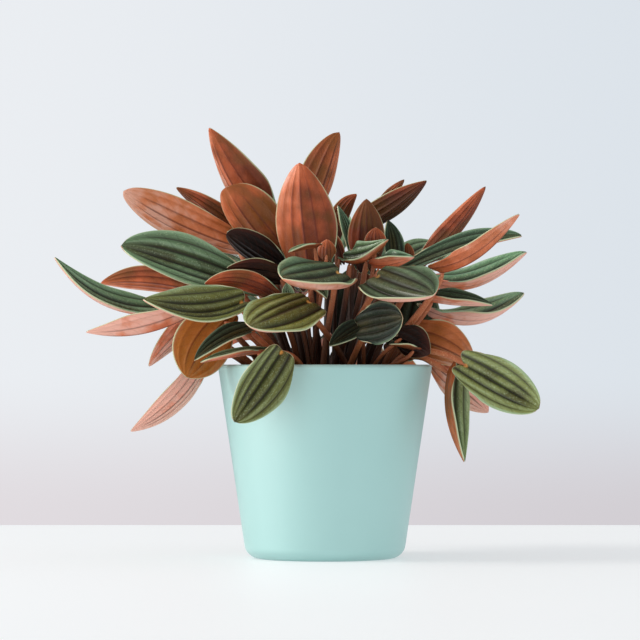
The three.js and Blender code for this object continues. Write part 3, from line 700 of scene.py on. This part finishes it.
# %% Sizes that all leaves share, in millimetres
STALK_RADIUS = 1.5
YOUNG_STALK_RADIUS = 1.1
STALK_DEPTH = 6  # how far a stalk goes into the soil
STALK_INTO_BLADE = 3  # how far along the rib it ends
FOOT_PULL = 0.4  # its foot stands this share of its leaf's distance from the middle
CROWN_RADIUS = 4
CROWN_HEIGHT = 7
CROWN_RING = 1.6  # the stalks' distance from the crown's middle
CROWN_FLOOR = 1  # how far above the other stalks' feet these ones start
BLADE_THICKNESS = 0.9
KEEL_HEIGHT = 0.9
WIDEST = 0.7  # a higher power moves the widest place towards the tip
VEIN_SPACING = 0.36  # a share of the blade's half width
UNDERSIDE_PLEATS = 0.7  # the underside is a little smoother than the top
PLEAT_DEPTH = 0.05  # a share of the blade's width, as is the height of the margin's waves
PLEAT_FULLNESS = 0.9  # a power: the lower it is, the sharper is the furrow between two pleats
SWELL_START = 0.15  # keeps some of the pleats' height at the base
SWELL_SCALE = 0.33
WAVE_HEIGHT = 0.04
WAVES = 1.5  # along one margin
SHOULDER = 0.6  # how far a full base's corners are rounded, as a share of its fullness
RIM_START = 0.4  # where a turned-up margin begins, as a share of the half width
GOLDEN_ANGLE = 2.4  # spreads the waves from leaf to leaf
print("blades:", BLADE_THICKNESS, "mm thick, stalks:", 2 * STALK_RADIUS, "mm")


# %% Read a row
def read_leaf(row, number):
    name, base, tip, width, faces, extras = row
    values = {**USUAL, **SHOOTS.get(name, {}), **extras}
    leaf = SimpleNamespace(**values, name=name, width=width, number=number)
    leaf.tint += (0,) * (5 - len(leaf.tint))
    leaf.base, leaf.tip, leaf.bend = Vector(base), Vector(tip), Vector(leaf.bend)
    leaf.young = name.startswith("young")
    leaf.radius = YOUNG_STALK_RADIUS if leaf.young else STALK_RADIUS
    x, y = leaf.foot or (base[0] * FOOT_PULL, base[1] * FOOT_PULL)
    leaf.foot = Vector((x, y, SOIL_HEIGHT / MM - STALK_DEPTH))
    leaf.along = leaf.tip - leaf.base
    leaf.length = leaf.along.length
    leaf.along.normalize()
    leaf.up = Vector(faces)
    leaf.up = (leaf.up - leaf.along * leaf.up.dot(leaf.along)).normalized()
    leaf.across = leaf.along.cross(leaf.up)
    return leaf


def gather_shoot(shoot):
    """Stands the stalks of a young shoot in a ring in its crown, ordered by their directions."""
    crown = shoot[0].foot.copy()
    angles = [math.atan2(leaf.base.y - crown.y, leaf.base.x - crown.x) for leaf in shoot]
    for leaf, own in zip(shoot, angles):
        rank = sum(angle < own for angle in angles)
        angle = min(angles) + math.tau * rank / len(shoot)
        leaf.crown = crown
        leaf.foot += Vector((math.cos(angle), math.sin(angle), 0)) * CROWN_RING
        leaf.foot.z += CROWN_FLOOR


leaves = [read_leaf(row, number) for number, row in enumerate(LEAVES)]
names = list(dict.fromkeys(leaf.name for leaf in leaves))
for name in names:
    if name.startswith("young"):
        gather_shoot([leaf for leaf in leaves if leaf.name == name])
lengths = [round(leaf.length) for leaf in leaves if not leaf.young]
print("blades:", min(lengths), "to", max(lengths), "mm long, in", len(names), "pieces")


# %% Find a point of a blade
def outline(along, point, full):
    """The half width as a share of the widest."""
    def shape(x):
        return (1 - x) ** point * (x + full) ** WIDEST
    return shape(along) / shape((WIDEST - point * full) / (point + WIDEST))


def rib_point(leaf, u):
    """A point of the bent rib, a share u of its length from the base."""
    return leaf.base + leaf.along * (leaf.length * u) + leaf.bend * (4 * u * (1 - u))


def blade_point(leaf, along, across, pleats=1):
    """A point of the blade's middle sheet, in millimetres."""
    side = abs(across)
    half = leaf.width / 2 * outline(along, leaf.point, leaf.full)
    rounded = SHOULDER * leaf.full * side ** 4 - leaf.lobe * math.sin(math.pi * side)
    u = along + rounded * (1 - along) ** 2
    tangent = (leaf.along * leaf.length + leaf.bend * (4 * (1 - 2 * u))).normalized()
    sideways = (leaf.across - tangent * leaf.across.dot(tangent)).normalized()
    turn = Matrix.Rotation(-math.radians(leaf.twist) * min(max(u, 0), 1), 3, tangent)
    upwards = turn @ sideways.cross(tangent)
    sideways = turn @ sideways
    slope = math.radians(leaf.fold + leaf.curl * side / 2)
    swell = (along + SWELL_START) * (1 - along) / SWELL_SCALE
    pleat = abs(math.sin(math.pi * across / VEIN_SPACING)) ** PLEAT_FULLNESS
    turn_up = max(0, (side - RIM_START) / (1 - RIM_START)) ** 1.5
    rim = leaf.rim + (abs(leaf.roll) if leaf.roll * across > 0 else 0)
    phase = math.tau * WAVES * along + GOLDEN_ANGLE * leaf.number + across
    rise = (side * half * math.sin(slope) + rim * turn_up * half / (leaf.width / 2)
            + PLEAT_DEPTH * leaf.width * pleats * pleat * swell * (1 - across ** 4)
            + WAVE_HEIGHT * leaf.width * side ** 3 * math.sin(phase) * (1 - along))
    return rib_point(leaf, u) + sideways * (across * half * math.cos(slope)) + upwards * rise


longest = max(leaves, key=lambda leaf: leaf.length)
halfway = [round(n) for n in blade_point(longest, 0.5, 1)]
print("longest:", longest.name, "with one margin at", halfway, "mm halfway along")

# %% [markdown]
# ### From a grid to a blade
# A flat grid has just the rows and columns that a blade needs, so each of its points is moved to
# its place on the blade. The sheet is then extruded to a second one, and the two are moved apart to
# give the blade its thickness. Every point keeps its own place on the blade in an attribute, which
# the leaf's finish reads to draw the veins.

# %% What each point remembers
# painted shade darkens the leaves and stalks around this middle of the plant
HEART = Vector((0, 12, 119))  # the plant's dark middle, in millimetres
HEART_RADIUS = 86


def layers(shape):
    """The vectors that each point keeps for the finishes to read."""
    vectors = shape.verts.layers.float_vector
    kept = ("blade", "tint", "lift", "from_joint", "place")
    return SimpleNamespace(**{name: vectors.get(name) or vectors.new(name) for name in kept})


def tint_of(leaf, across):
    """The underside's darkness at a distance from the rib, with painted shade on one half, its
    yellow-brown, partly painted light shining through, and how light the top is.
    """
    shade, light, olive, amber_tone_and_glow, painted_half_shade = leaf.tint
    # the change across the blade is painted shade on the half that faces away from the light
    return Vector((shade + painted_half_shade * across, amber_tone_and_glow, light))


def place_of(leaf, point):
    """How deep in the plant a point is, from 0 outside to 1 in its heart, and two leaf values."""
    depth = max(0, 1 - (point - HEART).length / HEART_RADIUS)
    return Vector((depth, leaf.number, leaf.tint[2]))


def faces_at(verts):
    """All faces that have one of these points as a corner."""
    return list({face for vert in verts for face in vert.link_faces})


def welded(shape, verts):
    """Joins the points that meet, and returns the ones that are left."""
    bmesh.ops.remove_doubles(shape, verts=verts, dist=1e-3)
    return [vert for vert in verts if vert.is_valid]


print("heart of the plant:", [round(n, 3) for n in HEART * MM], "radius", HEART_RADIUS * MM)

# %% Lay out the sheet of a blade
COLUMN_STEP = 0.06  # so that the veins, 0.36 apart, fall on columns
SMALL_WIDTH = 16  # a leaf no wider than this gets half as many columns
SMALL_LENGTH = 30  # and one no longer than this gets fewer rows
ROWS = 16
SMALL_ROWS = 11
TIP_CROWDING = 1.25  # rows stand closer near the tip
NOTCH_INSIDE = 1.4  # how far inside the base the dot over the stalk's joint is
ALMOST_TIP = 0.9999  # at the tip itself the blade has no width, so it has no direction


def lay_sheet(shape, leaf):
    """The blade's middle sheet: a grid whose points are moved to their places on the leaf."""
    kept = layers(shape)
    step = COLUMN_STEP if leaf.width > SMALL_WIDTH else 2 * COLUMN_STEP
    columns = math.ceil(1 / step)
    rows = ROWS if leaf.length > SMALL_LENGTH else SMALL_ROWS
    sheet = bmesh.ops.create_grid(shape, x_segments=2 * columns, y_segments=rows, size=1)["verts"]
    notch = rib_point(leaf, NOTCH_INSIDE / leaf.length)
    for vert in sheet:
        across = max(-1, min(1, step * round(vert.co.x * columns)))
        along = 1 - ((1 - vert.co.y) / 2) ** TIP_CROWDING
        vert.co = blade_point(leaf, along, across)
        vert[kept.blade], vert[kept.tint] = Vector((across, along, 1)), tint_of(leaf, across)
        vert[kept.from_joint], vert[kept.place] = vert.co - notch, place_of(leaf, vert.co)
    sheet = welded(shape, sheet)
    for vert in sheet:
        if vert[kept.blade].y > ALMOST_TIP:
            vert[kept.blade] = Vector((0, 1, 1))
    return sheet


# %% Give the sheet a top and an underside
KEEL_HALF_WIDTH = 0.1  # a share of the blade's half width
KEEL_LENGTH = 0.8  # a share of the blade's length


def add_blade(shape, leaf):
    sheet, kept = lay_sheet(shape, leaf), layers(shape)
    shape.normal_update()
    for vert in sheet:
        vert[kept.lift] = vert.normal * (BLADE_THICKNESS / 2)
    copied = bmesh.ops.extrude_face_region(shape, geom=faces_at(sheet), use_keep_orig=True)["geom"]
    under = [vert for vert in copied if isinstance(vert, bmesh.types.BMVert)]
    for vert in sheet:
        vert.co += vert[kept.lift]
    for vert in under:
        across, along, face = vert[kept.blade]
        keel = max(0, 1 - abs(across) / KEEL_HALF_WIDTH) * max(0, 1 - along / KEEL_LENGTH)
        below = blade_point(leaf, min(along, ALMOST_TIP), across, UNDERSIDE_PLEATS)
        vert.co = below - vert[kept.lift] * (1 + KEEL_HEIGHT * keel / (BLADE_THICKNESS / 2))
        vert[kept.blade] = Vector((across, along, 0))
    bmesh.ops.recalc_face_normals(shape, faces=faces_at(sheet + under))


trial = bmesh.new()
add_blade(trial, longest)
print("a large blade:", len(trial.faces), "faces before the smoothing")
trial.free()

# %% [markdown]
# ### The stalks
# A stalk is a tube on a curve that leaves the soil nearly upright and meets the blade from below.
# The tube starts as a grid too: its columns go round, its rows go along the curve, the two sides
# are welded and both ends are closed.

# %% Lead a stalk from the soil to its leaf
LEAN = 0.05  # how far a stalk's first handle leans towards its leaf
STRAIGHT, UPWARDS, ONWARDS = 0.7, 0.5, 0.3  # what its way into the blade is mixed from


def stalk_curve(leaf):
    """The four handles of the curve that a stalk follows from the soil to its leaf."""
    end = rib_point(leaf, STALK_INTO_BLADE / leaf.length)
    reach = end - leaf.foot
    usual = reach * (STRAIGHT / reach.length) + leaf.up * UPWARDS + leaf.along * ONWARDS
    arrival = (Vector(leaf.arrive) if leaf.arrive else usual).normalized()
    first = leaf.foot + Vector((reach.x * LEAN, reach.y * LEAN, reach.length * leaf.rise))
    return leaf.foot, first, end - arrival * (reach.length * leaf.reach), end


def curve_point(curve, s):
    """The point a share s along a curve of four handles, and the direction of the curve there."""
    a, b, c, d = curve
    point = a * (1 - s) ** 3 + b * (3 * s * (1 - s) ** 2) + c * (3 * s * s * (1 - s)) + d * s ** 3
    ahead = (b - a) * (1 - s) ** 2 + (c - b) * (2 * s * (1 - s)) + (d - c) * s * s
    return point, ahead.normalized()


print("longest leaf's stalk:", [[round(n) for n in p] for p in stalk_curve(longest)], "mm")

# %% Make a stalk
STALK_SIDES = 8
STALK_ROWS = 14
ROUNDING_LOSS = 0.9  # the later smoothing draws an eight-sided tube in to this share
TOP_THICKNESS = 0.98  # the share of its radius that a stalk has under the blade
FOOT_SWELLING = 0.24  # how much thicker a full-grown leaf's stalk is at its foot
NECK = 0.07  # the last share of a stalk, which narrows into the rib
NECK_LOSS = 0.55


def add_stalk(shape, leaf):
    kept = layers(shape)
    curve = stalk_curve(leaf)
    tube = bmesh.ops.create_grid(shape, x_segments=STALK_SIDES, y_segments=STALK_ROWS,
                                 size=1)["verts"]
    for vert in tube:
        turn, s = math.pi * vert.co.x, (vert.co.y + 1) / 2
        point, ahead = curve_point(curve, s)
        aside = (leaf.across - ahead * leaf.across.dot(ahead)).normalized()
        swelling = 0 if leaf.young else FOOT_SWELLING * (1 - s)
        radius = leaf.radius / ROUNDING_LOSS * (TOP_THICKNESS + swelling)
        radius *= 1 - NECK_LOSS * max(0, s - 1 + NECK) / NECK
        vert.co = point + (aside * math.cos(turn) + ahead.cross(aside) * math.sin(turn)) * radius
        vert[kept.blade], vert[kept.place] = Vector((turn, s, 0)), place_of(leaf, point)
    tube = welded(shape, tube)
    open_ends = list({edge for vert in tube for edge in vert.link_edges if edge.is_boundary})
    bmesh.ops.holes_fill(shape, edges=open_ends, sides=STALK_SIDES)
    bmesh.ops.recalc_face_normals(shape, faces=faces_at(tube))
    for face in faces_at(tube):
        face.material_index = 1


# %% Make the crown of a young shoot
CROWN_UNEVENNESS = 0.25
CROWN_LUMPS = 0.6  # to the millimetre


def add_crown(shape, leaf):
    kept = layers(shape)
    middle = leaf.crown + Vector((0, 0, CROWN_HEIGHT / 2))
    size = Matrix.Diagonal((CROWN_RADIUS, CROWN_RADIUS, CROWN_HEIGHT / 2, 1))
    knob = bmesh.ops.create_icosphere(shape, subdivisions=2, radius=1,
                                      matrix=Matrix.Translation(middle) @ size)["verts"]
    for vert in knob:
        vert.co += (vert.co - middle) * CROWN_UNEVENNESS * noise.noise(vert.co * CROWN_LUMPS)
        vert[kept.blade], vert[kept.place] = Vector((0, 0.1, 0)), place_of(leaf, vert.co)
    for face in faces_at(knob):
        face.material_index = 1


# %% [markdown]
# ### The leaves' finish
# The same blade is deep green and puckered on top and satin coral below, with a thin pale margin
# between. The main veins are sunk in the top and stand out below, side veins run forward from the
# rib, and where the stalk arrives there is a small orange dot. Little light reaches the heart of
# the plant, so there painted shade darkens both sides, by the depth that each point keeps in an
# attribute.

# %% Read the place on the blade, and make the patterns
skin = Finish("leaf_blade", Specular_IOR_Level=0.15, Coat_Roughness=0.2)
across, along, face = skin.split(skin.kept("blade"))
# the tint's second number is an amber that is partly painted light shining through the blade
shade, amber_tone_and_glow, light = skin.split(skin.kept("tint"))
core, own, olive = skin.split(skin.kept("place"))
joint = skin.node("VectorMath", {"Vector": skin.kept("from_joint")}, "Value", operation="LENGTH")
side = abs(across)
clouds = skin.noise(9 * MM, detail=3)
patches = skin.noise(17 * MM, detail=2)
speckle = skin.noise(0.7 * MM, detail=2)
before_tip = 1 - along.step(0.72, 0.97)
near_rib = 1 - side.step(0.42, 0.66)
vein_gap = side.fold(VEIN_SPACING)
wander = along * 8 - side * 2.6 + clouds * 0.6
side_vein = 1 - wander.fold(1).step(0.0, 0.14)
margin = side.step(0.8, 1.0)
streak_place = skin.node("CombineXYZ", {"X": across * 7, "Y": along * 1.8, "Z": own * 5}, "Vector")
streaks = skin.noise(1, detail=3, place=streak_place)
panel = across.math("FLOOR", across / VEIN_SPACING)
panel_place = skin.node("CombineXYZ", {"X": panel, "Y": own}, "Vector")
panel_tone = skin.node("TexWhiteNoise", {"Vector": panel_place}, "Value") - 0.5
# painted shade in the heart of the plant, which also takes away the coat's shine there
deep = core.step(0.1, 0.6)
print("patterns:", len(skin.tree.nodes), "nodes")

# %% [markdown]
# The top is layered like a painting: a dark or a light green, brown near the rib that is partly
# painted shade in the cupped middle, a painted silver sheen on the ridges, painted shade in the
# hollows between them, darker side veins, pale speckles that are partly painted glints, dark
# furrows over the veins that are partly their own colour and partly painted shade, a paler edge,
# painted shade in the plant's heart, and last the dot.

# %% The green top
# the furrows over the veins are partly their own dark brown and partly painted shade
furrow = (1 - vein_gap.step(0.0, 0.045)) * before_tip
ridge = vein_gap.step(0.02, 0.16)
outer = side.step(0.5, 0.66)
# a painted silver sheen, where the ridges would mirror the light
painted_ridge_sheen = streaks.step(0.42, 0.66) * (0.25 + 0.75 * ridge) * (0.3 + 0.7 * side.step(0.1, 0.8))
# brown near the rib, partly the leaf's own colour and partly painted shade in the cupped middle
rib_brown_and_shade = (1 - side.step(0.1, 0.75)) * (0.25 + 0.5 * patches.step(0.35, 0.6))
dot = (1 - joint.step(0.8, 2.2)) * light.step(0.02, 0.4)
green = skin.coats(
    # the leaf's light number is partly its own tone and partly painted light and shade
    skin.mix(light, "#14231a", skin.mix(olive, "#88b98b", "#a3a040")),
    (rib_brown_and_shade, "#463b17"),
    (painted_ridge_sheen * (0.05 + 0.75 * light), skin.mix(olive, "#b3d6b6", "#bccb8e")),
    # painted shade in the hollows between the ridges
    ((1 - ridge) * before_tip * (0.8 - 0.4 * outer), "#18200d"),
    (side_vein * 0.25, "#1d2c1a"),
    # pale speckles on the ridges, partly real speckles and partly painted glints
    (speckle.step(0.55, 0.7) * (0.05 + 0.65 * light) * ridge, "#bfd3a5"),
    (furrow * 0.75, "#2a1d12"),
    (side.step(0.86, 1.0) * (0.25 + 0.5 * light), "#b4d2a8"),
    # painted shade in the heart of the plant
    (deep * 0.9, "#0a100b"),
    (dot, "#dc9f52"))
print("top:", len(skin.tree.nodes), "nodes so far")

# %% [markdown]
# The underside runs through one scale of colours from pale pink to almost black. How far along it a
# point is depends on the leaf's shade, on clouds, on the panel between two veins, on the distance
# from the base, where painted shade darkens it, and on the margin, where painted light makes it
# paler. The veins are a darker red, unless the leaf itself is nearly black.

# %% The coral underside
rib = (1 - side.step(0.012, 0.05)) * before_tip
vein = (1 - vein_gap.step(0.008, 0.035)) * before_tip * (0.2 + 0.8 * near_rib)
variety = (clouds - 0.5) * 0.7 + (patches - 0.5) * 0.8 + panel_tone * 0.2
# painted shade darkens the underside towards the base, and painted light makes it paler near the
# margin
depth = shade + variety * (1.1 - shade) + (0.7 - along) * 0.3 - side.step(0.66, 0.8) * 0.1
shades = [(0.0, "#f2b7a4"), (0.2, "#e2845f"), (0.4, "#c46139"),
          (0.6, "#8c4125"), (0.8, "#491f12"), (1.0, "#150b08")]
lit = 1 - shade.step(0.6, 1.0)
coral = skin.coats(
    skin.node("ValToRGB", {"Fac": depth}, "Color", stops=shades),
    (patches.step(0.42, 0.6) * lit * shade, "#75491f"),
    # amber, partly the leaf's own tone and partly painted light shining through the thin blade
    (amber_tone_and_glow * 0.75, "#b47428"),
    (side_vein * 0.12, "#6a2c1c"),
    (speckle.step(0.5, 0.75) * 0.15 * (1 - shade), "#e0a080"),
    (vein * lit * 0.5, "#5a1712"),
    (rib * lit * 0.3, "#4e1a17"),
    # painted light makes the underside's margin a paler salmon
    (margin * lit * 0.25, "#e08a6c"),
    # painted shade in the heart of the plant
    (deep * 0.9, "#140a07"),
    (side.step(0.94, 0.985) * 0.75, "#c9cda0"))
print("underside:", len(skin.tree.nodes), "nodes so far")

# %% [markdown]
# The margin is the thin strip between the two sides, and it is pale. The relief is sunk over the
# veins and puckered between them on top, and below the veins stand out. Light leaves shine more
# than dark ones, and nothing shines in the plant's heart.

# %% Join them at the margin
rim = 1 - abs(face * 2 - 1)
both = skin.mix(face.step(0.35, 0.65), coral, green)
both = skin.mix(rim.step(0.1, 0.6) * 0.9, both, "#cdd2ac")
puckers = vein_gap.step(0.0, 0.14) * wander.fold(1).step(0.0, 0.4)
standing = (1 - vein_gap.step(0.0, 0.07)) * before_tip * (1 - outer * 0.6)
under_relief = standing * 1.6 + side_vein * 0.15 + clouds * 0.5
relief = face * (puckers * 0.5 + speckle * 0.8) + (1 - face) * under_relief
skin.show(Base_Color=both, Roughness=0.42 + 0.12 * speckle + 0.06 * (1 - face),
          Coat_Weight=(face * (light - 0.1) + 0.2) * (1 - deep),
          Normal=skin.bump(relief, 0.4 * MM, 0.8))

# %% [markdown]
# ### The stalks' finish
# A stalk is orange-brown with fine pale dots, pinker towards its leaf, and painted shade darkens it
# in the heart of the plant as it does the leaves.

# %% Mix the stalks' finish
fibre = Finish("leaf_stalk", Specular_IOR_Level=0.3)
up_stalk = fibre.split(fibre.kept("blade"))[1]
core = fibre.split(fibre.kept("place"))[0]
streaks = fibre.noise(3 * MM, detail=3)
dots = fibre.noise(0.8 * MM, detail=1)
bark = fibre.coats(
    fibre.mix(streaks, "#9a4f2e", "#c07a48"),
    (up_stalk.step(0.3, 1.0) * 0.3, "#c9745a"),
    (dots.step(0.6, 0.72) * 0.45, "#e6b483"),
    # painted shade in the heart of the plant
    (core.step(0.2, 0.66) * 0.93, "#110906"))
fibre.show(Base_Color=bark, Roughness=0.4 + 0.15 * streaks, Normal=fibre.bump(dots, 0.15 * MM, 0.5))

# %% [markdown]
# ### Growing the plant
# Each leaf is one object, and so is each young shoot with its leaves. The finer blades of the two
# outermost leaves would reach a millimetre past the frame's box, so the outer half of such a piece
# is squeezed by the few hundredths that this takes. A last smoothing rounds the blades.

# %% Grow the leaves
def fit_in_box(shape):
    """Squeezes the part of a piece that is past the frame's box, from the piece's middle out."""
    for axis, low, high in zip(range(3), *cad_box):
        reach = [vert.co[axis] for vert in shape.verts]
        first, last = min(reach), max(reach)
        middle = (first + last) / 2
        for vert in shape.verts:
            offset = vert.co[axis] - middle
            room = (middle - low) / (middle - first), (high - middle) / (last - middle)
            vert.co[axis] = middle + offset * min(1, room[offset > 0])


for name in names:
    plant = bmesh.new()
    shoot = [leaf for leaf in leaves if leaf.name == name]
    for leaf in shoot:
        add_blade(plant, leaf)
        add_stalk(plant, leaf)
    if shoot[0].young:
        add_crown(plant, shoot[0])
    bmesh.ops.scale(plant, verts=plant.verts, vec=(MM, MM, MM))
    fit_in_box(plant)
    piece = keep_piece(plant, name + "_grown", [skin, fibre], name)
    smoother = piece.modifiers.new("rounded", "SUBSURF")
    smoother.levels = smoother.render_levels = 1
print("leaf pieces:", len(names))
